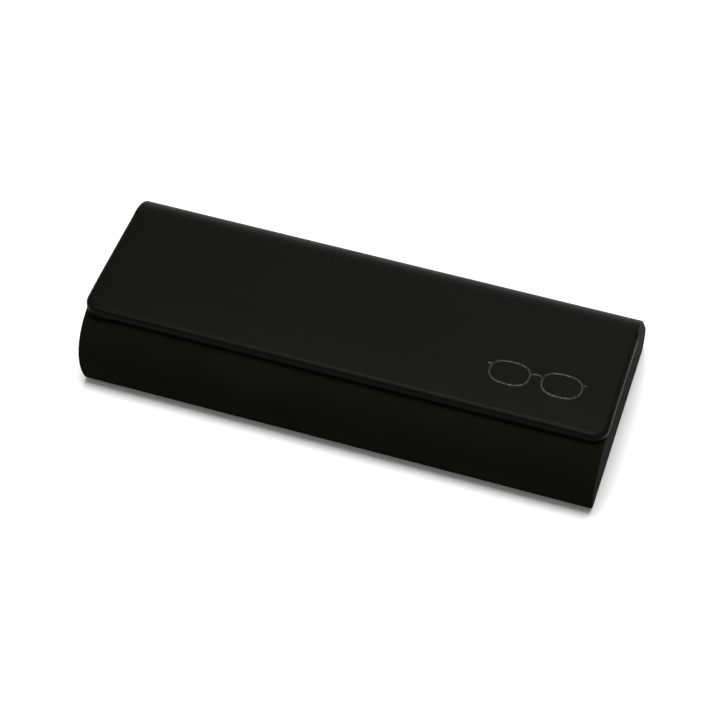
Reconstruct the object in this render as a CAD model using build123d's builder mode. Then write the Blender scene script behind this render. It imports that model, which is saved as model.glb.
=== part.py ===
from build123d import *

import os
from math import asin, atan2, cos, degrees, radians, sin, sqrt

# A hard eyeglasses case: a leather-covered steel trough with closed ends, and a flat flap
# lid that swings on a leather hinge along the back edge and is held shut by magnets.
# Millimetres. X runs along the case, -Y is the front, +Z is up.
# The origin is the middle of the flat underside.

# Overall size
LENGTH = 162.0
DEPTH = 72.0
HEIGHT = 30.0
LID_THICKNESS = 3.8

# Thickness of each material
LEATHER = 0.8
STEEL = 0.7
LINING = 0.8
BOARD = 1.6
TAPE = 0.3
LID_FOAM = 0.6
FLOOR_FOAM = 1.5
FOIL = 0.15

# Front of the trough: a shallow arc low down and a round one above, which meet at the bulge
BULGE_Z = 12.2
FRONT_LOW_RADIUS = 23.0
FRONT_HIGH_RADIUS = 15.0
FRONT_FOOT_RADIUS = 3.0

# Back of the trough: a low arc, a straight slope and a round shoulder that meets the lid
BACK_FOOT_Z = 2.6
BACK_FOOT_RADIUS = 2.5
BACK_LOW_RADIUS = 18.0
BACK_LEAN = 38.0
SHOULDER_RADIUS = 14.0

# Ends of the trough. Each has a nub that fills the shoulder behind the lid.
TURNED_EDGE = 0.8
END_RECESS = 1.0
END_NUB_Y = 13.2

# Floor pad
PAD_FRONT_Y = -28.0
PAD_BACK_Y = 30.0
PAD_END_GAP = 1.0
PAD_CORNER = 3.0

# Lid
LID_LENGTH = LENGTH - 0.8
LID_FRONT_Y = -29.4
LID_REAR_Y = 12.2
LID_CORNER = 5.0
LID_TOP_ROUNDING = 0.7
LID_TURN_IN = 7.0
PANEL_CORNER = 3.0
HINGE_GAP = 0.05

# Magnets, one near each end of the lid's front edge
MAGNET_LENGTH = 20.0
MAGNET_WIDTH = 4.0
MAGNET_SPACING = 96.0
MAGNET_INSET = 3.0

# Foil spectacles on the lid
EMBLEM_X = 56.2
EMBLEM_Y = -14.4
LENS_SPACING = 15.8
LENS_WIDTH = 12.6
LENS_HEIGHT = 9.4
LENS_CORNER = 4.4
FOIL_LINE = 0.6
BRIDGE_RISE = 1.6
TEMPLE_STUB = 1.6
TEMPLE_RISE = 2.0

# Places worked out from the sizes above
RIM_Z = HEIGHT - LID_THICKNESS
OVER_Z = HEIGHT + 10
FAR = 2 * LENGTH
SKIN = LEATHER + STEEL
WALL = LEATHER + STEEL + LINING
FRONT_LOW_Y = FRONT_LOW_RADIUS - DEPTH / 2
FRONT_HIGH_Y = FRONT_HIGH_RADIUS - DEPTH / 2
FRONT_RIM_ANGLE = degrees(asin((RIM_Z - BULGE_Z) / FRONT_HIGH_RADIUS))
RIM_CAP_ANGLE = degrees(LEATHER / FRONT_HIGH_RADIUS)
BACK_LOW_Y = DEPTH / 2 - BACK_LOW_RADIUS
OUT_Y = cos(radians(BACK_LEAN))
OUT_Z = sin(radians(BACK_LEAN))
SHOULDER_Z = HEIGHT - SHOULDER_RADIUS
SLOPE_RISE = SHOULDER_Z - BACK_FOOT_Z + (SHOULDER_RADIUS - BACK_LOW_RADIUS) * OUT_Z
SHOULDER_Y = BACK_LOW_Y + (BACK_LOW_RADIUS - SHOULDER_RADIUS) * OUT_Y - SLOPE_RISE * OUT_Z / OUT_Y
BACK_RIM_ANGLE = degrees(asin((RIM_Z - SHOULDER_Z) / SHOULDER_RADIUS))
TROUGH_HALF = LENGTH / 2 - TURNED_EDGE
END_OUTER_X = LENGTH / 2 - END_RECESS
END_BOARD_X = END_OUTER_X - LEATHER
END_LINING_X = END_BOARD_X - BOARD
END_INNER_X = END_LINING_X - LINING
LID_DEPTH = LID_REAR_Y - LID_FRONT_Y
BOARD_Z = RIM_Z + LINING
FOAM_Z = BOARD_Z + BOARD
MAGNET_Y = LID_FRONT_Y + LEATHER + MAGNET_INSET

os.makedirs("parts", exist_ok=True)


def section(inset):
    """The case's outline moved in by inset, seen from the right end. Above the rim it runs straight up."""
    low_radius = FRONT_LOW_RADIUS - inset
    high_radius = FRONT_HIGH_RADIUS - inset
    back_radius = BACK_LOW_RADIUS - inset
    shoulder_radius = SHOULDER_RADIUS - inset
    drop = BULGE_Z - inset
    foot_y = FRONT_LOW_Y - sqrt(low_radius**2 - drop**2)
    foot_angle = degrees(atan2(drop, FRONT_LOW_Y - foot_y))
    back_y = DEPTH / 2 - inset
    slope_foot = (BACK_LOW_Y + back_radius * OUT_Y, BACK_FOOT_Z + back_radius * OUT_Z)
    slope_top = (SHOULDER_Y + shoulder_radius * OUT_Y, SHOULDER_Z + shoulder_radius * OUT_Z)
    rim_y = FRONT_HIGH_Y - high_radius * cos(radians(FRONT_RIM_ANGLE))
    rim_z = BULGE_Z + high_radius * sin(radians(FRONT_RIM_ANGLE))
    with BuildSketch(Plane.YZ) as outline:
        with BuildLine():
            Line((foot_y, inset), (back_y, inset))
            Line((back_y, inset), (back_y, BACK_FOOT_Z))
            CenterArc((BACK_LOW_Y, BACK_FOOT_Z), back_radius, 0, BACK_LEAN)
            Line(slope_foot, slope_top)
            CenterArc((SHOULDER_Y, SHOULDER_Z), shoulder_radius, BACK_LEAN, 90 - BACK_LEAN)
            Polyline((SHOULDER_Y, HEIGHT - inset), (SHOULDER_Y, OVER_Z), (rim_y, OVER_Z), (rim_y, rim_z))
            CenterArc((FRONT_HIGH_Y, BULGE_Z), high_radius, 180 - FRONT_RIM_ANGLE, FRONT_RIM_ANGLE)
            CenterArc((FRONT_LOW_Y, BULGE_Z), low_radius, 180, foot_angle)
        make_face()
        feet = outline.vertices().group_by(Axis.Y)[0].sort_by(Axis.X)
        fillet(feet[0], FRONT_FOOT_RADIUS - inset)
        feet = outline.vertices().group_by(Axis.Y)[0].sort_by(Axis.X)
        fillet(feet[-1], BACK_FOOT_RADIUS - inset)
    return outline.sketch


def mouth(front_angle, back_angle):
    """The space above the trough, which ends the front and back walls square at these angles."""
    front, back = radians(front_angle), radians(back_angle)
    with BuildSketch(Plane.YZ) as opening:
        with BuildLine():
            Polyline(
                (FRONT_HIGH_Y, BULGE_Z),
                (FRONT_HIGH_Y - OVER_Z * cos(front), BULGE_Z + OVER_Z * sin(front)),
                (SHOULDER_Y + OVER_Z * cos(back), SHOULDER_Z + OVER_Z * sin(back)),
                (SHOULDER_Y, SHOULDER_Z),
                close=True,
            )
        make_face()
    return opening.sketch


def shoulder_strip(inset, thickness):
    """A strip round the shoulder, from the back rim to the lid's rear edge."""
    far = SHOULDER_RADIUS - inset
    near = far - thickness
    with BuildSketch(Plane.YZ) as strip:
        with Locations((SHOULDER_Y, SHOULDER_Z)):
            Circle(far)
            Circle(near, mode=Mode.SUBTRACT)
        with BuildLine():
            Polyline(
                (SHOULDER_Y, SHOULDER_Z),
                (SHOULDER_Y + OVER_Z * cos(radians(BACK_RIM_ANGLE)),
                 SHOULDER_Z + OVER_Z * sin(radians(BACK_RIM_ANGLE))),
                (LID_REAR_Y + HINGE_GAP, SHOULDER_Z + OVER_Z),
                (LID_REAR_Y + HINGE_GAP, SHOULDER_Z),
                close=True,
            )
        make_face(mode=Mode.INTERSECT)
    return strip.sketch


def finish_part(part, name):
    """Labels a finished piece and writes it to its own file."""
    part.label = name
    export_step(part, f"parts/{name}.step")


# ---- Trough ----

# Bent sheet-steel core, open at the top and at both ends
with BuildPart() as steel_shell:
    extrude(section(LEATHER), amount=TROUGH_HALF, both=True)
    extrude(section(SKIN), amount=FAR, both=True, mode=Mode.SUBTRACT)
    extrude(mouth(FRONT_RIM_ANGLE - RIM_CAP_ANGLE, BACK_RIM_ANGLE), amount=FAR, both=True, mode=Mode.SUBTRACT)
finish_part(steel_shell.part, "steel_shell")

# Leather skin of the trough, turned in over the two cut ends of the steel
with BuildPart() as body_cover:
    extrude(section(0), amount=LENGTH / 2, both=True)
    extrude(section(LEATHER), amount=TROUGH_HALF, both=True, mode=Mode.SUBTRACT)
    extrude(section(SKIN), amount=FAR, both=True, mode=Mode.SUBTRACT)
    extrude(mouth(FRONT_RIM_ANGLE - RIM_CAP_ANGLE, BACK_RIM_ANGLE), amount=FAR, both=True, mode=Mode.SUBTRACT)
finish_part(body_cover.part, "body_cover")

# Leather edge strip that closes the cut front rim
with BuildPart() as front_rim_strip:
    extrude(section(0), amount=LENGTH / 2, both=True)
    extrude(section(SKIN), amount=FAR, both=True, mode=Mode.SUBTRACT)
    extrude(mouth(FRONT_RIM_ANGLE - RIM_CAP_ANGLE, 90), amount=FAR, both=True, mode=Mode.INTERSECT)
    extrude(mouth(FRONT_RIM_ANGLE, BACK_RIM_ANGLE), amount=FAR, both=True, mode=Mode.SUBTRACT)
finish_part(front_rim_strip.part, "front_rim_strip")

# Velvet lining of the trough, between the two ends
with BuildPart() as body_lining:
    extrude(section(SKIN), amount=END_INNER_X, both=True)
    extrude(section(WALL), amount=FAR, both=True, mode=Mode.SUBTRACT)
    extrude(mouth(FRONT_RIM_ANGLE, BACK_RIM_ANGLE), amount=FAR, both=True, mode=Mode.SUBTRACT)
finish_part(body_lining.part, "body_lining")

# Velvet-faced foam pad on the floor
with BuildPart() as floor_pad:
    with BuildSketch(Plane.XY.offset(WALL)):
        with Locations((0, (PAD_FRONT_Y + PAD_BACK_Y) / 2)):
            RectangleRounded(2 * (END_INNER_X - PAD_END_GAP), PAD_BACK_Y - PAD_FRONT_Y, PAD_CORNER)
    extrude(amount=FLOOR_FOAM)
finish_part(floor_pad.part, "floor_pad")

# Each closed end is a stiff board with leather outside and velvet inside
END_LAYERS = {
    "end_cover": (END_BOARD_X, END_OUTER_X),
    "end_board": (END_LINING_X, END_BOARD_X),
    "end_lining": (END_INNER_X, END_LINING_X),
}
for side, direction in (("left", -1), ("right", 1)):
    for layer, (near_x, far_x) in END_LAYERS.items():
        with BuildPart() as end_layer:
            extrude(section(SKIN), amount=direction * far_x)
            extrude(section(0), amount=direction * near_x, mode=Mode.SUBTRACT)
            with BuildSketch(Plane.YZ):
                with Locations((END_NUB_Y, RIM_Z)):
                    Rectangle(DEPTH, OVER_Z, align=(Align.MAX, Align.MIN))
            extrude(amount=FAR, both=True, mode=Mode.SUBTRACT)
        finish_part(end_layer.part, f"{side}_{layer}")

# ---- Hinge ----

# Outer leather of the hinge, which carries on the lid's top over the shoulder
with BuildPart() as hinge_strip:
    extrude(shoulder_strip(0, LEATHER), amount=LENGTH / 2, both=True)
finish_part(hinge_strip.part, "hinge_strip")

# Woven tape glued behind the hinge leather
with BuildPart() as hinge_tape:
    extrude(shoulder_strip(LEATHER, TAPE), amount=TROUGH_HALF, both=True)
finish_part(hinge_tape.part, "hinge_tape")

# Velvet over the tape, carried down the rear edge of the lid
with BuildPart() as hinge_lining:
    extrude(shoulder_strip(LEATHER + TAPE, LINING), amount=END_INNER_X, both=True)
    with BuildSketch(Plane.YZ):
        with Locations((LID_REAR_Y + HINGE_GAP, RIM_Z)):
            Rectangle(LINING, LEATHER + BOARD, align=(Align.MIN, Align.MIN))
    extrude(amount=END_INNER_X, both=True)
finish_part(hinge_lining.part, "hinge_lining")

# ---- Lid ----


def lid_outline(z):
    """Flat outline of the lid at a height, rounded at its two front corners."""
    with BuildSketch(Plane.XY.offset(z)) as outline:
        with Locations((0, LID_REAR_Y)):
            Rectangle(LID_LENGTH, LID_DEPTH, align=(Align.CENTER, Align.MAX))
        fillet(outline.vertices().group_by(Axis.Y)[0], LID_CORNER)
    return outline.sketch


def core_outline(z):
    """Outline of what the lid's leather wraps round, at a height."""
    with BuildSketch(Plane.XY.offset(z)) as outline:
        with Locations((0, LID_REAR_Y)):
            Rectangle(LID_LENGTH - 2 * LEATHER, LID_DEPTH - LEATHER, align=(Align.CENTER, Align.MAX))
        fillet(outline.vertices().group_by(Axis.Y)[0], LID_CORNER - LEATHER)
    return outline.sketch


def panel_outline(z):
    """Outline of the velvet panel under the lid, inside the turned-in leather, at a height."""
    with BuildSketch(Plane.XY.offset(z)) as outline:
        with Locations((0, LID_REAR_Y)):
            Rectangle(LID_LENGTH - 2 * LID_TURN_IN, LID_DEPTH - LID_TURN_IN, align=(Align.CENTER, Align.MAX))
        fillet(outline.vertices().group_by(Axis.Y)[0], PANEL_CORNER)
    return outline.sketch


def magnet_outline(z):
    """Places of the two magnets, at a height."""
    with BuildSketch(Plane.XY.offset(z)) as outline:
        with Locations((0, MAGNET_Y)):
            with GridLocations(MAGNET_SPACING, 0, 2, 1):
                Rectangle(MAGNET_LENGTH, MAGNET_WIDTH)
    return outline.sketch


def spectacles(z):
    """Spectacles drawn in an even line at a height: two rounded lenses, a bridge and two short temples."""
    with BuildSketch(Plane.XY.offset(z)) as outline:
        with Locations((EMBLEM_X, EMBLEM_Y)):
            with GridLocations(LENS_SPACING, 0, 2, 1):
                RectangleRounded(LENS_WIDTH, LENS_HEIGHT, LENS_CORNER)
            with Locations((0, TEMPLE_RISE)):
                with GridLocations(LENS_SPACING + LENS_WIDTH, 0, 2, 1):
                    Rectangle(TEMPLE_STUB, FOIL_LINE)
            with Locations((0, BRIDGE_RISE)):
                Rectangle(LENS_SPACING - LENS_WIDTH + LENS_CORNER, FOIL_LINE)
            with GridLocations(LENS_SPACING, 0, 2, 1):
                RectangleRounded(
                    LENS_WIDTH - 2 * FOIL_LINE, LENS_HEIGHT - 2 * FOIL_LINE, LENS_CORNER - FOIL_LINE,
                    mode=Mode.SUBTRACT,
                )
    return outline.sketch


# Leather skin of the lid, turned in underneath
with BuildPart() as lid_cover:
    extrude(lid_outline(RIM_Z), amount=LID_THICKNESS)
    top_edges = lid_cover.edges().group_by(Axis.Z)[-1].sort_by(Axis.Y)[:-1]
    fillet(top_edges, LID_TOP_ROUNDING)
    extrude(core_outline(BOARD_Z), amount=BOARD + LID_FOAM, mode=Mode.SUBTRACT)
    extrude(panel_outline(RIM_Z), amount=LINING, mode=Mode.SUBTRACT)
    extrude(spectacles(HEIGHT), amount=-FOIL, mode=Mode.SUBTRACT)
finish_part(lid_cover.part, "lid_cover")

# Stiff board
with BuildPart() as lid_board:
    extrude(core_outline(BOARD_Z), amount=BOARD)
    extrude(magnet_outline(BOARD_Z), amount=BOARD, mode=Mode.SUBTRACT)
finish_part(lid_board.part, "lid_board")

# Magnets let into the board
with BuildPart() as lid_magnets:
    extrude(magnet_outline(BOARD_Z), amount=BOARD)
finish_part(lid_magnets.part, "lid_magnets")

# Thin foam between the board and the leather
with BuildPart() as lid_foam:
    extrude(core_outline(FOAM_Z), amount=LID_FOAM)
finish_part(lid_foam.part, "lid_foam")

# Velvet panel under the lid
with BuildPart() as lid_lining:
    extrude(panel_outline(RIM_Z), amount=LINING)
finish_part(lid_lining.part, "lid_lining")

# Foil pressed flush into the leather
with BuildPart() as emblem:
    extrude(spectacles(HEIGHT), amount=-FOIL)
finish_part(emblem.part, "emblem")
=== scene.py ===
from math import acos, asin, atan2, copysign, cos, exp, pi, radians, sin, sqrt

import bmesh
import bpy
from mathutils import Matrix, Vector, noise

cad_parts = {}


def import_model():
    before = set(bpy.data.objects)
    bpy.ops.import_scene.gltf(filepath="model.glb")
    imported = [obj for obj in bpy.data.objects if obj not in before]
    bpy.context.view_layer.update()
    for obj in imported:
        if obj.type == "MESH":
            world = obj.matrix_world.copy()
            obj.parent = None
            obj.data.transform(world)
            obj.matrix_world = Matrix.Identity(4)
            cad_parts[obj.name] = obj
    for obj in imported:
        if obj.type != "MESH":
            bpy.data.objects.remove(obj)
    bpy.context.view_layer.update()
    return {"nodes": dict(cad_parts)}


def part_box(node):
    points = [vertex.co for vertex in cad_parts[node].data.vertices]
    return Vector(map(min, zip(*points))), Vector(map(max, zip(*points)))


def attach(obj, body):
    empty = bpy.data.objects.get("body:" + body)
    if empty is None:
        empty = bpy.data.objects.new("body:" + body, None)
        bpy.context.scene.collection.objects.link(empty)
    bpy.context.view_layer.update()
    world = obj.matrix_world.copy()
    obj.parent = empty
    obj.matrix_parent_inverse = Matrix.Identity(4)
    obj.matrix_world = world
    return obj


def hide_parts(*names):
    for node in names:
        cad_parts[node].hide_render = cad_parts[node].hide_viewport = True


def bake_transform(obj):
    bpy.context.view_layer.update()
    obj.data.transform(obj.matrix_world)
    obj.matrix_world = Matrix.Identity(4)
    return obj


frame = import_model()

# The looks of a hard eyeglasses case: black leather outside, charcoal velvet inside.
# Shapes are worked out in millimetres in the CAD frame and turned into metres by make_mesh.

MM = 0.001


def box_mm(node):
    """Lowest and highest corners of a CAD node, in millimetres."""
    low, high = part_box(node)
    return low / MM, high / MM


# ---- Sizes read from the CAD ----

trough_low, trough_high = box_mm("body_cover")
lid_low, lid_high = box_mm("lid_cover")
panel_low, panel_high = box_mm("lid_lining")
end_lining_low = box_mm("right_end_lining")[0]
pad_low, pad_high = box_mm("floor_pad")
foam_low, foam_high = box_mm("lid_foam")
emblem_low, emblem_high = box_mm("emblem")

HALF = trough_high.x
RIM_Z = trough_high.z
TOP_Z = lid_high.z
FRONT_Y = trough_low.y
BACK_Y = trough_high.y
LID_HALF = lid_high.x
LID_FRONT = lid_low.y
LID_REAR = lid_high.y
END_INNER_X = end_lining_low.x

# ---- Cross-section of the trough, the same arcs as the CAD's ----

BULGE_Z = 12.2
FRONT_LOW_RADIUS = 23.0
FRONT_HIGH_RADIUS = 15.0
FRONT_FOOT_RADIUS = 3.0
BACK_FOOT_Z = 2.6
BACK_FOOT_RADIUS = 2.5
BACK_LOW_RADIUS = 18.0
BACK_LEAN = radians(38)
SHOULDER_RADIUS = 14.0
WALL = 2.3
LEATHER = 0.8
SEAM_Y = 20.0

FRONT_HIGH = (FRONT_Y + FRONT_HIGH_RADIUS, BULGE_Z)
FRONT_LOW = (FRONT_Y + FRONT_LOW_RADIUS, BULGE_Z)
FOOT_REACH = FRONT_LOW_RADIUS - FRONT_FOOT_RADIUS
FRONT_FOOT = (FRONT_LOW[0] - sqrt(FOOT_REACH**2 - (BULGE_Z - FRONT_FOOT_RADIUS) ** 2), FRONT_FOOT_RADIUS)
BACK_FOOT = (BACK_Y - BACK_FOOT_RADIUS, BACK_FOOT_RADIUS)
BACK_LOW = (BACK_Y - BACK_LOW_RADIUS, BACK_FOOT_Z)
SHOULDER_Z = TOP_Z - SHOULDER_RADIUS
SLOPE_RISE = SHOULDER_Z - BACK_FOOT_Z + (SHOULDER_RADIUS - BACK_LOW_RADIUS) * sin(BACK_LEAN)
SLOPE_RUN = SLOPE_RISE * sin(BACK_LEAN) / cos(BACK_LEAN)
SHOULDER = (BACK_LOW[0] + (BACK_LOW_RADIUS - SHOULDER_RADIUS) * cos(BACK_LEAN) - SLOPE_RUN, SHOULDER_Z)
FRONT_RIM = pi - asin((RIM_Z - BULGE_Z) / FRONT_HIGH_RADIUS)
BACK_RIM = asin((RIM_Z - SHOULDER_Z) / SHOULDER_RADIUS)
FOOT_ANGLE = pi + atan2(BULGE_Z - FRONT_FOOT_RADIUS, FRONT_LOW[0] - FRONT_FOOT[0])
LID_REAR_ANGLE = acos((LID_REAR - SHOULDER[0]) / SHOULDER_RADIUS)


def arc(centre, radius, start, end, steps):
    """Points and outward normals along an arc of the section."""
    made = []
    for i in range(steps + 1):
        angle = start + (end - start) * i / steps
        normal = (cos(angle), sin(angle))
        made.append(((centre[0] + radius * normal[0], centre[1] + radius * normal[1]), normal))
    return made


def straight(start, end, normal, steps):
    """Points between two places on a straight stretch of the section, ends left out."""
    made = []
    for i in range(1, steps):
        share = i / steps
        point = (start[0] + (end[0] - start[0]) * share, start[1] + (end[1] - start[1]) * share)
        made.append((point, normal))
    return made


def front_stations(rim_angle=FRONT_RIM):
    """The section from the front rim down and under, to the seam below."""
    made = arc(FRONT_HIGH, FRONT_HIGH_RADIUS, rim_angle, pi, 22)
    made += arc(FRONT_LOW, FRONT_LOW_RADIUS, pi, FOOT_ANGLE, 10)[1:]
    made += arc(FRONT_FOOT, FRONT_FOOT_RADIUS, FOOT_ANGLE, 1.5 * pi, 8)[1:]
    made += straight((FRONT_FOOT[0], 0), (SEAM_Y, 0), (0, -1), 14)
    made.append(((SEAM_Y, 0), (0, -1)))
    return made


def back_stations(top_angle):
    """The section from the seam below, round the back and up over the shoulder."""
    slope_foot = arc(BACK_LOW, BACK_LOW_RADIUS, BACK_LEAN, BACK_LEAN, 1)[0]
    slope_top = arc(SHOULDER, SHOULDER_RADIUS, BACK_LEAN, BACK_LEAN, 1)[0]
    made = [((SEAM_Y, 0), (0, -1))]
    made += straight((SEAM_Y, 0), (BACK_FOOT[0], 0), (0, -1), 4)
    made += arc(BACK_FOOT, BACK_FOOT_RADIUS, -0.5 * pi, 0, 7)
    made += arc(BACK_LOW, BACK_LOW_RADIUS, 0, BACK_LEAN, 12)
    made += straight(slope_foot[0], slope_top[0], slope_top[1], 8)
    made += arc(SHOULDER, SHOULDER_RADIUS, BACK_LEAN, BACK_RIM, 5)
    made += arc(SHOULDER, SHOULDER_RADIUS, BACK_RIM, top_angle, 64)[1:]
    return made


def inset(station, depth):
    """A station moved inwards, along its normal."""
    (y, z), (out_y, out_z) = station
    return y - out_y * depth, z - out_z * depth


def smooth(value, low, high):
    """0 below low, 1 above high, and an S-curve between."""
    share = min(1.0, max(0.0, (value - low) / (high - low)))
    return share * share * (3 - 2 * share)


# ---- Mesh helpers ----

def make_mesh(name, vertices, faces, material, sharp_angle=50):
    """A smooth-shaded object from points in millimetres."""
    mesh = bpy.data.meshes.new(name)
    mesh.from_pydata([(x * MM, y * MM, z * MM) for x, y, z in vertices], [], faces)
    tidy = bmesh.new()
    tidy.from_mesh(mesh)
    bmesh.ops.remove_doubles(tidy, verts=tidy.verts, dist=0.002 * MM)
    bmesh.ops.dissolve_degenerate(tidy, edges=tidy.edges, dist=0.001 * MM)
    bmesh.ops.recalc_face_normals(tidy, faces=tidy.faces)
    tidy.to_mesh(mesh)
    tidy.free()
    mesh.materials.append(material)
    mesh.polygons.foreach_set("use_smooth", [True] * len(mesh.polygons))
    mesh.set_sharp_from_angle(angle=radians(sharp_angle))
    piece = bpy.data.objects.new(name, mesh)
    bpy.context.scene.collection.objects.link(piece)
    return piece


def apply_modifiers(piece):
    """Turns a piece's modifiers into plain mesh."""
    view = bpy.context.evaluated_depsgraph_get()
    mesh = bpy.data.meshes.new_from_object(piece.evaluated_get(view))
    piece.modifiers.clear()
    piece.data = mesh


def thicken(piece, thickness):
    """Gives a single sheet its thickness, on the inner side."""
    solid = piece.modifiers.new("thickness", "SOLIDIFY")
    solid.thickness = thickness * MM
    solid.offset = -1
    apply_modifiers(piece)


def grid_faces(rows, columns, start=0, closed=False):
    """Quads over a grid of points stored row by row."""
    faces = []
    for row in range(rows - 1):
        for column in range(columns if closed else columns - 1):
            after = (column + 1) % columns
            here = start + row * columns
            faces.append((here + column, here + after, here + columns + after, here + columns + column))
    return faces


def turn_outwards(piece, inside):
    """Makes an open sheet's faces point away from a point inside it."""
    centre = Vector(inside) * MM
    outward = sum(face.normal.dot(face.center - centre) * face.area for face in piece.data.polygons)
    if outward < 0:
        piece.data.flip_normals()


def uneven(x, y, z, size, amount):
    """A slow wander of the surface, in millimetres."""
    return noise.noise(Vector((x, y, z)) / size) * amount


# ---- Materials ----

def new_material(name):
    """A new material with its nodes, links and main shader."""
    material = bpy.data.materials.new(name)
    material.use_nodes = True
    nodes = material.node_tree.nodes
    return material, nodes, material.node_tree.links, nodes["Principled BSDF"]


def place_node(nodes):
    """The surface's own place, which moves with the piece."""
    return nodes.new("ShaderNodeTexCoord").outputs["Object"]


def noise_node(nodes, links, place, scale, detail=4.0, roughness=0.55):
    """Noise of a given number of cells per metre."""
    node = nodes.new("ShaderNodeTexNoise")
    node.inputs["Scale"].default_value = scale
    node.inputs["Detail"].default_value = detail
    node.inputs["Roughness"].default_value = roughness
    links.new(place, node.inputs["Vector"])
    return node.outputs["Fac"]


def ramp_node(nodes, links, value, stops):
    """A colour ramp with the given (position, colour) stops."""
    node = nodes.new("ShaderNodeValToRGB")
    while len(node.color_ramp.elements) < len(stops):
        node.color_ramp.elements.new(0.5)
    for element, (position, colour) in zip(node.color_ramp.elements, stops):
        element.position = position
        element.color = (*colour, 1)
    links.new(value, node.inputs["Fac"])
    return node.outputs["Color"]


def range_node(nodes, links, value, low, high):
    """Maps 0..1 to low..high."""
    node = nodes.new("ShaderNodeMapRange")
    node.inputs["To Min"].default_value = low
    node.inputs["To Max"].default_value = high
    links.new(value, node.inputs["Value"])
    return node.outputs["Result"]


def bump_node(nodes, links, height, distance, strength, below=None):
    """A bump, on top of another if one is given."""
    node = nodes.new("ShaderNodeBump")
    node.inputs["Distance"].default_value = distance
    node.inputs["Strength"].default_value = strength
    links.new(height, node.inputs["Height"])
    if below is not None:
        links.new(below, node.inputs["Normal"])
    return node.outputs["Normal"]


def leather_material(name, specular, darkness):
    """Matte black leatherette: a fine pebble grain, faint olive blotches, duller and shinier spots."""
    material, nodes, links, shader = new_material(name)
    place = place_node(nodes)
    blotches = noise_node(nodes, links, place, 55, 3)
    deep = (0.75 * darkness, 0.75 * darkness, 0.58 * darkness)
    light = (darkness, darkness, 0.8 * darkness)
    links.new(ramp_node(nodes, links, blotches, [(0.3, deep), (0.7, light)]), shader.inputs["Base Color"])
    shine = noise_node(nodes, links, place, 1500, 2)
    links.new(range_node(nodes, links, shine, 0.36, 0.62), shader.inputs["Roughness"])
    shader.inputs["Specular IOR Level"].default_value = specular
    grain = nodes.new("ShaderNodeTexVoronoi")
    grain.feature = "SMOOTH_F1"
    grain.inputs["Scale"].default_value = 2600
    grain.inputs["Smoothness"].default_value = 0.4
    links.new(place, grain.inputs["Vector"])
    pores = noise_node(nodes, links, place, 6000, 2)
    creases = noise_node(nodes, links, place, 700, 4)
    rough_skin = bump_node(nodes, links, creases, 0.00006, 0.5)
    pebbles = bump_node(nodes, links, grain.outputs["Distance"], 0.00005, 0.7, rough_skin)
    links.new(bump_node(nodes, links, pores, 0.00001, 0.4, pebbles), shader.inputs["Normal"])
    return material


def velvet_material():
    """Short charcoal velvet, with a soft sheen and brushed patches."""
    material, nodes, links, shader = new_material("charcoal_velvet")
    place = place_node(nodes)
    brushed = noise_node(nodes, links, place, 90, 3)
    links.new(
        ramp_node(nodes, links, brushed, [(0.35, (0.022, 0.023, 0.026)), (0.65, (0.038, 0.039, 0.044))]),
        shader.inputs["Base Color"],
    )
    shader.inputs["Roughness"].default_value = 0.95
    shader.inputs["Specular IOR Level"].default_value = 0.1
    shader.inputs["Sheen Weight"].default_value = 0.35
    shader.inputs["Sheen Roughness"].default_value = 0.45
    shader.inputs["Sheen Tint"].default_value = (0.6, 0.62, 0.68, 1)
    pile = noise_node(nodes, links, place, 4500, 3, 0.7)
    tufts = noise_node(nodes, links, place, 420, 3)
    nap = bump_node(nodes, links, tufts, 0.00012, 0.5)
    links.new(bump_node(nodes, links, pile, 0.0001, 0.9, nap), shader.inputs["Normal"])
    return material


def foil_material():
    """Dull pewter foil, pressed into the leather, so its grain shows through and thins it."""
    material, nodes, links, shader = new_material("pewter_foil")
    place = place_node(nodes)
    worn = noise_node(nodes, links, place, 900, 5, 0.7)
    links.new(
        ramp_node(nodes, links, worn, [(0.38, (0.006, 0.0056, 0.0054)), (0.62, (0.036, 0.033, 0.032))]),
        shader.inputs["Base Color"],
    )
    links.new(range_node(nodes, links, worn, 0.55, 0.35), shader.inputs["Roughness"])
    shader.inputs["Metallic"].default_value = 0.85
    grain = noise_node(nodes, links, place, 2600, 3)
    links.new(bump_node(nodes, links, grain, 0.00004, 0.6), shader.inputs["Normal"])
    return material


def board_material():
    """Dark grey-brown hardboard with pressed fibres."""
    material, nodes, links, shader = new_material("hardboard_fibres")
    place = place_node(nodes)
    fibres = noise_node(nodes, links, place, 800, 6, 0.7)
    links.new(
        ramp_node(nodes, links, fibres, [(0.35, (0.09, 0.075, 0.06)), (0.65, (0.15, 0.13, 0.105))]),
        shader.inputs["Base Color"],
    )
    shader.inputs["Roughness"].default_value = 0.9
    links.new(bump_node(nodes, links, fibres, 0.0001, 0.5), shader.inputs["Normal"])
    return material


def metal_material(name, colour, roughness, streaks):
    """Bare or primed metal with fine drawn streaks."""
    material, nodes, links, shader = new_material(name)
    place = place_node(nodes)
    drawn = nodes.new("ShaderNodeMapping")
    drawn.inputs["Scale"].default_value = (1, streaks, streaks)
    links.new(place, drawn.inputs["Vector"])
    lines = noise_node(nodes, links, drawn.outputs["Vector"], 60, 4)
    darker = tuple(part * 0.8 for part in colour)
    links.new(ramp_node(nodes, links, lines, [(0.3, darker), (0.7, colour)]), shader.inputs["Base Color"])
    links.new(range_node(nodes, links, lines, roughness, roughness + 0.15), shader.inputs["Roughness"])
    shader.inputs["Metallic"].default_value = 1.0
    return material


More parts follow.
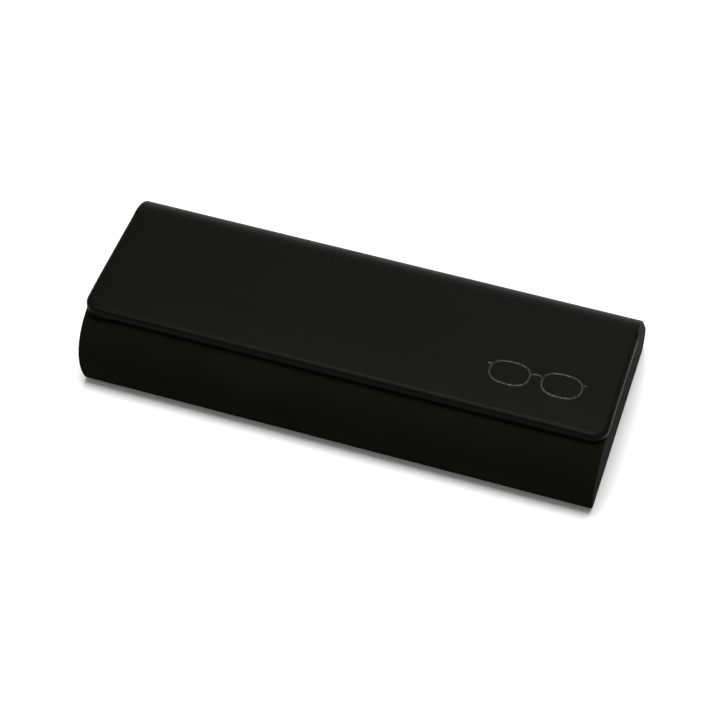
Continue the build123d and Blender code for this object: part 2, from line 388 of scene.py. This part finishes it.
def foam_material():
    """Open-celled grey foam."""
    material, nodes, links, shader = new_material("grey_foam")
    place = place_node(nodes)
    cells = nodes.new("ShaderNodeTexVoronoi")
    cells.inputs["Scale"].default_value = 2500
    links.new(place, cells.inputs["Vector"])
    distance = cells.outputs["Distance"]
    # The pits of the cells are painted darker than their rims: painted shade in the pores.
    pore_shade_stops = [(0.2, (0.22, 0.22, 0.21)), (0.8, (0.4, 0.4, 0.38))]
    links.new(ramp_node(nodes, links, distance, pore_shade_stops), shader.inputs["Base Color"])
    shader.inputs["Roughness"].default_value = 1.0
    links.new(bump_node(nodes, links, distance, 0.0002, 0.8), shader.inputs["Normal"])
    return material


def tape_material():
    """Black cotton tape in a plain weave."""
    material, nodes, links, shader = new_material("woven_cotton")
    place = place_node(nodes)
    warp = nodes.new("ShaderNodeTexWave")
    warp.inputs["Scale"].default_value = 900
    warp.bands_direction = "X"
    weft = nodes.new("ShaderNodeTexWave")
    weft.inputs["Scale"].default_value = 900
    weft.bands_direction = "Y"
    links.new(place, warp.inputs["Vector"])
    links.new(place, weft.inputs["Vector"])
    weave = nodes.new("ShaderNodeMath")
    weave.operation = "MAXIMUM"
    links.new(warp.outputs["Fac"], weave.inputs[0])
    links.new(weft.outputs["Fac"], weave.inputs[1])
    links.new(
        ramp_node(nodes, links, weave.outputs[0], [(0.2, (0.01, 0.01, 0.01)), (0.9, (0.05, 0.05, 0.05))]),
        shader.inputs["Base Color"],
    )
    shader.inputs["Roughness"].default_value = 0.95
    links.new(bump_node(nodes, links, weave.outputs[0], 0.0001, 0.7), shader.inputs["Normal"])
    return material


# The lid and the trough wear one and the same leather, in two copies. The lid's copy is darker and has a real
# reflection. The trough's copy has its reflection almost turned off and a lighter base colour instead:
# painted light that stands in for the shine it lacks.
leather = leather_material("black_leather", 0.045, 0.0012)
trough_leather_painted_light = leather_material("black_leather_trough_painted_light", 0.0012, 0.0043)
velvet = velvet_material()
foil = foil_material()
board = board_material()
steel = metal_material("primed_steel", (0.3, 0.3, 0.31), 0.5, 20)
nickel = metal_material("nickel_plate", (0.55, 0.54, 0.52), 0.25, 12)
foam = foam_material()
tape = tape_material()


# ---- Outer leather ----

# Thickness of the leather sheets, and the slow wander of their surface: its depth and the length of its waves
SHEET = LEATHER * 0.8
SKIN_WANDER = 0.06
TROUGH_WAVE = 24
LID_WAVE = 26

# Rolled ends of the trough's leather: the roll's radius, and how far it stops short of the CAD's end
ROLL = 0.5
END_TUCK = 0.3

# Outline of the lid's leather. Its rings and its middle grid meet LID_CORNER in from the edge. The wander
# starts there and reaches its full depth WANDER_FADE further in, and REAR_FADE in front of the lid's rear.
LID_SIDE = LID_HALF + 0.5
LID_CORNER = 5.0
TURN_IN = LID_SIDE - panel_high.x
LID_COLUMNS = 60
LID_ROWS = 20
WANDER_FADE = 5
REAR_FADE = 6

# Behind the lid's rear, the sheet passes from the trough's rolled ends to the lid's sides over this stretch
REAR_BLEND = 1.6

# Rounding of the lid's edge: how far it reaches in at the sides and the front, its height, its radius below
SIDE_ROUND = 2.2
FRONT_ROUND = 1.7
TOP_ROUND = 1.5
BOTTOM_ROUND = 0.6

# Gap under the turned-in leather, how far the lid's middle stands above its edge, and how soon it gets there
UNDERSIDE_GAP = 0.03
CROWN = 0.2
CROWN_REACH = 4.0

# The lid's top sags by DROOP at its front edge, over the last DROOP_REACH
DROOP = 0.75
DROOP_REACH = 14.0

# The lower part of the front edge stands out as a lip at its left end
LIP = 0.8
LIP_REACH = 11.5
LIP_HEIGHT = 1.15
LIP_FADE = 0.6 * LID_CORNER


def top_drop(edge):
    """How far the lid's top falls away near its edges."""
    return CROWN * exp(-edge / CROWN_REACH)


def lid_profile():
    """(side inset, front inset, height) of the lid leather's edge, from its turned-in end up to the top."""
    underside = RIM_Z + UNDERSIDE_GAP
    made = [(TURN_IN, TURN_IN, RIM_Z + 0.75), (TURN_IN - 0.25, TURN_IN - 0.25, RIM_Z + 0.3)]
    made += [(edge, edge, underside) for edge in (TURN_IN - 0.8, 4.5, 3.0, 1.8)]
    for i in range(6):
        angle = 0.5 * pi * i / 5
        edge = BOTTOM_ROUND * (1 - sin(angle))
        made.append((edge, edge, underside + BOTTOM_ROUND * (1 - cos(angle))))
    half_way = 0.5 * (LIP_HEIGHT + TOP_Z - RIM_Z - TOP_ROUND)
    made += [(0.0, 0.0, RIM_Z + height) for height in (LIP_HEIGHT, half_way)]
    side_top = TOP_Z - CROWN - TOP_ROUND
    for i in range(9):
        angle = 0.5 * pi * i / 8
        side, front = SIDE_ROUND * (1 - cos(angle)), FRONT_ROUND * (1 - cos(angle))
        made.append((side, front, side_top + TOP_ROUND * sin(angle) + CROWN - top_drop(side)))
    return made


def rolled_end(count):
    """(x, depth) pairs for leather tucked behind the steel's cut edge, rolled over it and laid flat."""
    flat = HALF - END_TUCK - ROLL
    made = [(flat - 3.0 + i, 2 * ROLL + 0.3 - 0.1 * i) for i in range(4)]
    around = count - 7
    for i in range(around):
        angle = pi * (1 - i / (around - 1))
        made.append((flat + ROLL * sin(angle), ROLL - ROLL * cos(angle)))
    return made + [(flat - 0.5 * (i + 1), 0.0) for i in range(3)]


LID_PROFILE = lid_profile()
END_POINTS = len(LID_PROFILE)
LID_REACH = LID_SIDE - LID_CORNER
TROUGH_END = rolled_end(END_POINTS)
LID_END = [(LID_SIDE - side, TOP_Z - z) for side, front, z in LID_PROFILE]
TROUGH_REACH = HALF - LID_CORNER


def sheet_row(station, share):
    """Points across the case at one station: the trough's rolled ends at share 0, the lid's sides at 1."""
    ends = []
    for (trough_x, trough_depth), (lid_x, lid_depth) in zip(TROUGH_END, LID_END):
        x = trough_x + (lid_x - trough_x) * share
        ends.append((x, *inset(station, trough_depth + (lid_depth - trough_depth) * share)))
    reach = TROUGH_REACH + (LID_REACH - TROUGH_REACH) * share
    middle = []
    for i in range(LID_COLUMNS + 1):
        x = -reach + 2 * reach * i / LID_COLUMNS
        drop = top_drop(LID_SIDE - abs(x)) * share
        wander = abs(uneven(x, *station[0], TROUGH_WAVE, SKIN_WANDER)) * (1 - share)
        middle.append((x, *inset(station, drop + wander)))
    return [(-x, y, z) for x, y, z in ends] + middle + ends[::-1]


def front_sheet():
    """The leather of the trough's front and underside."""
    stations = front_stations()
    vertices = [point for station in stations for point in sheet_row(station, 0)]
    faces = grid_faces(len(stations), len(vertices) // len(stations))
    sheet = make_mesh("front_leather", vertices, faces, trough_leather_painted_light)
    turn_outwards(sheet, (0, 0, BULGE_Z))
    thicken(sheet, SHEET)
    return sheet


def lid_z(x, y, z):
    """Height of a point of the lid once its top has sagged towards the front edge."""
    sag = DROOP * smooth(LID_FRONT + DROOP_REACH - y, 0, DROOP_REACH)
    return RIM_Z + (z - RIM_Z) * (1 - sag / (TOP_Z - RIM_Z))


def lid_ring(side_edge, front_edge):
    """Open ring round the lid's left, front and right sides, starting and ending at its rear."""
    corner_steps = 7
    centre_x, centre_y = LID_SIDE - LID_CORNER, LID_FRONT + LID_CORNER
    side, front = max(LID_CORNER - side_edge, 0), max(LID_CORNER - front_edge, 0)
    side_x = centre_x + LID_CORNER - side_edge if side_edge > LID_CORNER else centre_x + side
    front_y = centre_y - LID_CORNER + front_edge if front_edge > LID_CORNER else centre_y - front
    turn_y = max(centre_y, front_y)
    made = [(-side_x, LID_REAR + (turn_y - LID_REAR) * i / LID_ROWS) for i in range(LID_ROWS)]
    turn_x = min(centre_x, side_x)
    for i in range(corner_steps + 1):
        angle = 0.5 * pi * i / corner_steps
        made.append((-turn_x - side * cos(angle), turn_y - front * sin(angle)))
    right = [(-x, y) for x, y in reversed(made)]
    made += [(-turn_x + 2 * turn_x * i / LID_COLUMNS, front_y) for i in range(1, LID_COLUMNS)]
    return made + right


def back_and_lid_sheet():
    """One sheet of leather: up the back, over the hinge and lid, round its edges and turned in below."""
    vertices, faces = [], []
    stations = back_stations(LID_REAR_ANGLE)[:-1]
    for station in stations:
        y, z = station[0]
        share = 1 - smooth(y, LID_REAR, LID_REAR + REAR_BLEND)
        vertices += sheet_row(station, share if z > RIM_Z else 0)
    rear_ends = [(x, LID_REAR, TOP_Z - depth) for x, depth in LID_END]
    columns = [-LID_REACH + 2 * LID_REACH * i / LID_COLUMNS for i in range(LID_COLUMNS + 1)]
    rear = [(x, LID_REAR, TOP_Z - top_drop(LID_SIDE - abs(x))) for x in columns]
    vertices += [(-x, y, z) for x, y, z in rear_ends] + rear + rear_ends[::-1]
    faces += grid_faces(len(stations) + 1, len(vertices) // (len(stations) + 1))

    start = len(vertices)
    rings = LID_PROFILE + [(LID_CORNER, LID_CORNER, TOP_Z - top_drop(LID_CORNER))]
    for side_edge, front_edge, z in rings:
        around = lid_ring(side_edge, front_edge)
        low = z < RIM_Z + LIP_HEIGHT - 0.01 and front_edge < 1
        for x, y in around:
            lip = LIP * low * smooth(LIP_REACH - LID_SIDE - x, 0, LIP_REACH)
            lip *= smooth(LID_FRONT + LIP_FADE - y, 0, LIP_FADE)
            vertices.append((x, y - lip, lid_z(x, y, z)))
    faces += grid_faces(len(rings), len(around), start=start)

    start = len(vertices)
    for row in range(LID_ROWS + 1):
        y = LID_REAR + (LID_FRONT + LID_CORNER - LID_REAR) * row / LID_ROWS
        for x in columns:
            edge = min(LID_SIDE - abs(x), y - LID_FRONT)
            wander = abs(uneven(x, y, 0, LID_WAVE, SKIN_WANDER)) * smooth(LID_REAR - y, 0, REAR_FADE)
            wander *= smooth(edge, LID_CORNER, LID_CORNER + WANDER_FADE)
            vertices.append((x, y, lid_z(x, y, TOP_Z - top_drop(edge)) - wander))
    faces += grid_faces(LID_ROWS + 1, LID_COLUMNS + 1, start=start)
    sheet = make_mesh("back_hinge_and_lid_leather", vertices, faces, leather)
    turn_outwards(sheet, (0, 0, BULGE_Z))
    thicken(sheet, SHEET)
    return sheet


front_leather = front_sheet()
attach(front_leather, "trough")
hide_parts("body_cover")

lid_leather = back_and_lid_sheet()
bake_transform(lid_leather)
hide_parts("hinge_strip", "lid_cover")


def rim_roll():
    """The leather edge that wraps the front rim: a rounded bar along the wall's top, tucked in behind."""
    around = []
    down = FRONT_RIM + LEATHER * 1.6 / FRONT_HIGH_RADIUS
    half_wall = WALL / 2
    middle = FRONT_HIGH_RADIUS - half_wall
    for i in range(13):
        turn = pi * i / 12
        radius = middle + half_wall * cos(turn)
        lift = half_wall * 0.75 * sin(turn) / middle
        angle = FRONT_RIM + LEATHER / FRONT_HIGH_RADIUS - lift
        around.append((FRONT_HIGH[0] + radius * cos(angle), FRONT_HIGH[1] + radius * sin(angle)))
    inner = FRONT_HIGH_RADIUS - WALL
    tucked_in = ((inner, down + 0.3), (inner + 0.5, down + 0.32))
    outside = ((FRONT_HIGH_RADIUS - 0.4, down + 0.05), (FRONT_HIGH_RADIUS - 0.02, down))
    for radius, angle in tucked_in + outside:
        around.append((FRONT_HIGH[0] + radius * cos(angle), FRONT_HIGH[1] + radius * sin(angle)))
    centre_y = sum(y for y, z in around) / len(around)
    centre_z = sum(z for y, z in around) / len(around)
    full = HALF - 1.6
    ends = [(full, 1.0), (HALF - 1.1, 0.93), (HALF - 0.8, 0.75), (HALF - 0.7, 0.45)]
    middle_columns = [(-full + 2 * full * i / 40, 1.0) for i in range(1, 40)]
    columns = [(-x, share) for x, share in reversed(ends)] + middle_columns + ends
    vertices = []
    for x, share in columns:
        for y, z in around:
            vertices.append((x, centre_y + (y - centre_y) * share, centre_z + (z - centre_z) * share))
    faces = grid_faces(len(columns), len(around), closed=True)
    last = (len(columns) - 1) * len(around)
    faces.append(tuple(range(len(around))))
    faces.append(tuple(range(last, last + len(around))))
    return make_mesh("front_rim_leather", vertices, faces, leather)


rim_leather = rim_roll()
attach(rim_leather, "trough")
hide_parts("front_rim_strip")


# ---- Ends ----

def end_outline(depth, lip):
    """The closed outline of an end, moved in by depth, with its top edge under the lid."""
    nub_y = LID_REAR + 0.8
    stations = front_stations() + back_stations(LID_REAR_ANGLE)[1:]
    points = [inset(station, depth) for station in stations]
    kept = [point for point in points if point[1] < RIM_Z - lip or point[0] > nub_y]
    nub_top = max(z for y, z in kept if y > 0)
    across = 24
    closing = [(nub_y, nub_top + (RIM_Z - lip - nub_top) * i / 4) for i in range(5)]
    closing += [(nub_y + (kept[0][0] - nub_y) * i / across, RIM_Z - lip) for i in range(1, across + 1)]
    return kept + closing


def end_piece(name, side, near_x, far_x, depth, lip, material, edge, crown):
    """A plate that closes one end, rounded where it faces away from near_x and a little crowned."""
    outline = end_outline(depth, lip)
    middle_y, middle_z = 2.0, RIM_Z / 2
    reach_y, reach_z = BACK_Y - WALL, RIM_Z / 2
    towards = 1 if far_x > near_x else -1
    rings = [(near_x, 0.0)]
    for i in range(6):
        angle = 0.5 * pi * i / 5
        rings.append((far_x - towards * edge * (1 - sin(angle)), edge * (1 - cos(angle))))
    for share in (0.15, 0.35, 0.6, 0.85):
        rings.append((far_x + towards * crown * sin(0.5 * pi * share), edge + (reach_z - edge) * share))
    vertices = []
    for x, shrink in rings:
        for y, z in outline:
            scale_y = 1 - shrink / reach_y * (1 if shrink <= edge else reach_y / reach_z)
            scale_z = 1 - shrink / reach_z
            point = (side * x, middle_y + (y - middle_y) * scale_y, middle_z + (z - middle_z) * scale_z)
            vertices.append(point)
    count = len(outline)
    faces = grid_faces(len(rings), count, closed=True)
    faces.append(tuple(range(count)))
    vertices.append((side * (far_x + towards * crown), middle_y, middle_z))
    last = (len(rings) - 1) * count
    faces += [(last + i, last + (i + 1) % count, len(vertices) - 1) for i in range(count)]
    return make_mesh(name, vertices, faces, material, 60)


# The leather and the velvet of each end are two plates that meet at END_MEET_X
END_MEET_X = END_INNER_X + 0.9
END_FACE_X = HALF - 0.25
END_GAP = 0.05

for side, word in ((-1, "left"), (1, "right")):
    outside = end_piece(
        f"{word}_end_leather", side, END_MEET_X, END_FACE_X,
        depth=END_GAP, lip=END_GAP, material=trough_leather_painted_light, edge=0.7, crown=0.22,
    )
    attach(outside, "trough")
    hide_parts(f"{word}_end_cover", f"{word}_end_board")
    inside = end_piece(
        f"{word}_end_velvet", side, END_MEET_X, END_INNER_X,
        depth=WALL - 0.3, lip=0.5, material=velvet, edge=0.4, crown=0.3,
    )
    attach(inside, "trough")
    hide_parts(f"{word}_end_lining")


# ---- Inside of the trough ----

LINING_TUCK = 0.4
LINING_SWELL = 0.12
LINING_WAVE = 14
LINING_THICKNESS = 0.6


def trough_velvet():
    """The velvet that lines the trough's front, floor and back."""
    stations = front_stations(FRONT_RIM + 0.1) + back_stations(BACK_RIM + 0.02)[1:]
    half = END_INNER_X + LINING_TUCK
    count = 48
    vertices = []
    for station in stations:
        for i in range(count + 1):
            x = -half + 2 * half * i / count
            y, z = inset(station, WALL)
            swell = LINING_SWELL + uneven(x, y, z, LINING_WAVE, LINING_SWELL)
            vertices.append((x, y - station[1][0] * swell, z - station[1][1] * swell))
    sheet = make_mesh("trough_velvet", vertices, grid_faces(len(stations), count + 1), velvet)
    turn_outwards(sheet, (0, 0, BULGE_Z))
    solid = sheet.modifiers.new("thickness", "SOLIDIFY")
    solid.thickness = LINING_THICKNESS * MM
    solid.offset = 1
    apply_modifiers(sheet)
    return sheet


lining = trough_velvet()
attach(lining, "trough")
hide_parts("body_lining")


PAD_EDGE = 1.2
PAD_REACH = 5.0
PAD_WAVE = 17
PAD_WANDER = 0.1


def cushion(name, low, high, corner, crown, material, down=False):
    """A flat pad with rounded corners, crowned on one face and pulled in round its edge."""
    rows, columns = 30, 64
    width, depth = (high.x - low.x) / 2, (high.y - low.y) / 2
    middle_x, middle_y = (high.x + low.x) / 2, (high.y + low.y) / 2
    thickness = high.z - low.z
    vertices = []
    for face in (1, -1):
        for row in range(rows + 1):
            for column in range(columns + 1):
                u = -cos(pi * column / columns)
                v = -cos(pi * row / rows)
                x, y = u * width, v * depth
                over_x = max(0.0, abs(x) - (width - corner))
                over_y = max(0.0, abs(y) - (depth - corner))
                reach = sqrt(over_x**2 + over_y**2)
                if over_x > 0 and over_y > 0:
                    limit = max(over_x, over_y) / reach
                    x -= (1 if x > 0 else -1) * over_x * (1 - limit)
                    y -= (1 if y > 0 else -1) * over_y * (1 - limit)
                edge = min(width - abs(u * width), depth - abs(v * depth))
                rounding = sqrt(max(0.0, 1 - (1 - min(1.0, edge / PAD_EDGE)) ** 2))
                swell = crown * (1 - exp(-edge / PAD_REACH))
                swell += uneven(x, y, 0, PAD_WAVE, PAD_WANDER) * rounding
                top = thickness / 2 * rounding + (swell if (face > 0) != down else 0)
                vertices.append((middle_x + x, middle_y + y, (low.z + high.z) / 2 + face * top))
    size = (rows + 1) * (columns + 1)
    faces = grid_faces(rows + 1, columns + 1) + grid_faces(rows + 1, columns + 1, start=size)
    return make_mesh(name, vertices, faces, material, 70)


PAD_LIFT = Vector((0, 0, 0.15))
floor_pad = cushion("floor_pad_velvet", pad_low + PAD_LIFT, pad_high, corner=4.0, crown=0.9, material=velvet)
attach(floor_pad, "trough")
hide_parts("floor_pad")


# ---- Hinge lining and tape ----

def hinge_layer(name, depth, thickness, half, material, leg):
    """A layer behind the hinge leather."""
    stations = arc(SHOULDER, SHOULDER_RADIUS, BACK_RIM - 0.05, LID_REAR_ANGLE - 0.03, 40)
    path = [inset(station, depth) for station in stations]
    if leg:
        rear_y, top_z = path[-1]
        for i in range(1, 9):
            path.append((rear_y - 0.15 * sin(pi * i / 8), top_z - (top_z - RIM_Z - 0.1) * i / 8))
    count = 40
    vertices = []
    for y, z in path:
        for i in range(count + 1):
            x = -half + 2 * half * i / count
            vertices.append((x, y, z + uneven(x, y, z, 9, 0.05)))
    sheet = make_mesh(name, vertices, grid_faces(len(path), count + 1), material, 70)
    turn_outwards(sheet, (0, SHOULDER[0], BULGE_Z))
    thicken(sheet, thickness)
    return sheet


for name, node, depth, thickness, half, material, slot, leg in (
    ("hinge_cotton_tape", "hinge_tape", LEATHER + 0.02, 0.25, HALF - 2.4, tape, "woven_tape", False),
    ("hinge_velvet", "hinge_lining", LEATHER + 0.32, 0.6, END_INNER_X, velvet, "velvet", True),
):
    layer = hinge_layer(name, depth, thickness, half, material, leg)
    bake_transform(layer)
    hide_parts(node)


# ---- Lid ----

PANEL_TUCK = 0.7
PANEL_REAR_GAP = 0.1
PANEL_CORNER = 2.0
panel = cushion(
    "lid_velvet",
    panel_low - Vector((PANEL_TUCK, PANEL_TUCK, 0)),
    panel_high + Vector((PANEL_TUCK, -PANEL_REAR_GAP, 0)),
    corner=PANEL_CORNER, crown=0.35, material=velvet, down=True,
)
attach(panel, "lid")
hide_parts("lid_lining")


# ---- Foil spectacles ----

FOIL_LINE = 0.6
FOIL_RISE = 0.02
FOIL_SINK = 0.03
LENS_WIDTH = 12.6
LENS_HEIGHT = 9.4
LENS_SPACING = 15.8
LENS_SQUARENESS = 0.8
RIM_POINTS = 72
TEMPLE_LAP = 0.5
TEMPLE_LENGTH = 1.3
TEMPLE_RISE = 2.0
BRIDGE_LAP = 0.35
BRIDGE_RISE = 1.2
BRIDGE_ARCH = 0.7
EMBLEM_MIDDLE = (emblem_low + emblem_high) / 2


def surface_z(x, y):
    """Height of the lid's leather at a place."""
    edge = min(LID_SIDE - abs(x), y - LID_FRONT)
    return lid_z(x, y, TOP_Z - top_drop(edge))


def ribbon(path, closed, width):
    """A flat line of foil along a path, as rows of points across it."""
    rows = []
    count = len(path)
    for i, (x, y) in enumerate(path):
        before = path[i - 1] if closed or i > 0 else path[i]
        after = path[(i + 1) % count] if closed or i < count - 1 else path[i]
        along = Vector((after[0] - before[0], after[1] - before[1])).normalized()
        across = Vector((-along.y, along.x)) * width / 2
        rows.append([(x + across.x * share, y + across.y * share, share) for share in (-1, -0.8, 0, 0.8, 1)])
    return rows


def spectacles():
    """Two rounded lenses, a bridge and two short temples in an even foil line."""
    middle_x, middle_y = EMBLEM_MIDDLE.x, EMBLEM_MIDDLE.y
    lines = []
    for side in (-1, 1):
        rim = []
        for i in range(RIM_POINTS):
            angle = 2 * pi * i / RIM_POINTS
            ring_x = (LENS_WIDTH - FOIL_LINE) / 2 * copysign(abs(cos(angle)) ** LENS_SQUARENESS, cos(angle))
            ring_y = (LENS_HEIGHT - FOIL_LINE) / 2 * copysign(abs(sin(angle)) ** LENS_SQUARENESS, sin(angle))
            rim.append((middle_x + side * LENS_SPACING / 2 + ring_x, middle_y + ring_y))
        lines.append((rim, True))
        outer = middle_x + side * (LENS_SPACING + LENS_WIDTH) / 2
        root = outer - side * TEMPLE_LAP
        temple = [(root + side * TEMPLE_LENGTH * i / 6, middle_y + TEMPLE_RISE) for i in range(7)]
        lines.append((temple, False))
    gap = LENS_SPACING - LENS_WIDTH
    bridge = []
    for i in range(13):
        share = -1 + 2 * i / 12
        arch = BRIDGE_ARCH * (1 - share**2)
        bridge.append((middle_x + share * (gap / 2 + BRIDGE_LAP), middle_y + BRIDGE_RISE + arch))
    lines.append((bridge, False))
    vertices, faces = [], []
    for path, closed in lines:
        rows = ribbon(path, closed, FOIL_LINE)
        start = len(vertices)
        for row in rows:
            for x, y, share in row:
                rise = FOIL_RISE if abs(share) < 1 else -FOIL_SINK
                vertices.append((x, y, surface_z(x, y) + rise))
        across = len(rows[0])
        faces += grid_faces(len(rows), across, start=start)
        if closed:
            last = start + (len(rows) - 1) * across
            for i in range(across - 1):
                faces.append((last + i, last + i + 1, start + i + 1, start + i))
    return make_mesh("foil_spectacles", vertices, faces, foil)


# The foam's top stays this far under the sagging leather
FOAM_BELOW = 0.75
foam_sheet = cushion("lid_foam_sheet", foam_low, foam_high, corner=3.2, crown=0.0, material=foam)
for vertex in foam_sheet.data.vertices:
    x, y, z = vertex.co / MM
    vertex.co.z = min(z, surface_z(x, y) - FOAM_BELOW) * MM
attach(foam_sheet, "lid")
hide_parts("lid_foam")

emblem = spectacles()
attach(emblem, "lid")
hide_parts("emblem")


# ---- Hidden CAD pieces keep their shape and get a material ----

for node, material in (
    ("steel_shell", steel),
    ("lid_board", board),
    ("lid_magnets", nickel),
):
    frame["nodes"][node].data.materials.clear()
    frame["nodes"][node].data.materials.append(material)


# ---- Floor, light and camera ----

def floor():
    """A plain pale floor."""
    size = 3.0
    corners = [(-size, -size, 0), (size, -size, 0), (size, size, 0), (-size, size, 0)]
    mesh = bpy.data.meshes.new("floor")
    mesh.from_pydata(corners, [], [(0, 1, 2, 3)])
    material, nodes, links, shader = new_material("pale_floor")
    shader.inputs["Base Color"].default_value = (0.72, 0.72, 0.72, 1)
    shader.inputs["Roughness"].default_value = 0.9
    mesh.materials.append(material)
    piece = bpy.data.objects.new("floor", mesh)
    bpy.context.scene.collection.objects.link(piece)


def area_light(name, place, aim, size, power):
    """A square soft light aimed at a point."""
    light = bpy.data.lights.new(name, "AREA")
    light.size = size
    light.energy = power
    lamp = bpy.data.objects.new(name, light)
    lamp.location = place
    lamp.rotation_euler = (Vector(aim) - Vector(place)).to_track_quat("-Z", "Y").to_euler()
    bpy.context.scene.collection.objects.link(lamp)


def world(strength):
    """An even pale surround."""
    surround = bpy.data.worlds.new("studio")
    surround.use_nodes = True
    background = surround.node_tree.nodes["Background"]
    background.inputs["Color"].default_value = (1, 1, 1, 1)
    background.inputs["Strength"].default_value = strength
    bpy.context.scene.world = surround


CAMERA_AZIMUTH = radians(16.54)
CAMERA_ELEVATION = radians(48.20)
CAMERA_ROLL = radians(1.69)
CAMERA_DISTANCE = 0.6717
CAMERA_TARGET = Vector((-0.00243, 0.00189, 0))
CAMERA_LENS = 107.2


def camera():
    """The camera at the viewing angle, with its small roll."""
    back = Vector((
        sin(CAMERA_AZIMUTH) * cos(CAMERA_ELEVATION),
        -cos(CAMERA_AZIMUTH) * cos(CAMERA_ELEVATION),
        sin(CAMERA_ELEVATION),
    ))
    level = Vector((cos(CAMERA_AZIMUTH), sin(CAMERA_AZIMUTH), 0))
    rise = back.cross(level)
    right = level * cos(CAMERA_ROLL) + rise * sin(CAMERA_ROLL)
    up = rise * cos(CAMERA_ROLL) - level * sin(CAMERA_ROLL)
    data = bpy.data.cameras.new("camera")
    data.lens = CAMERA_LENS
    data.sensor_width = 36
    data.clip_start = 0.01
    item = bpy.data.objects.new("camera", data)
    turned = Matrix((right, up, back)).transposed().to_4x4()
    item.matrix_world = Matrix.Translation(CAMERA_TARGET + back * CAMERA_DISTANCE) @ turned
    bpy.context.scene.collection.objects.link(item)
    bpy.context.scene.camera = item


floor()
world(0.55)
area_light("back_softbox", (0.15, 0.9, 0.9), (0, 0, 0), 0.9, 4)
area_light("overhead", (0.0, -0.05, 1.2), (0, 0, 0), 0.5, 20)
camera()
bpy.context.scene.view_settings.view_transform = "Standard"
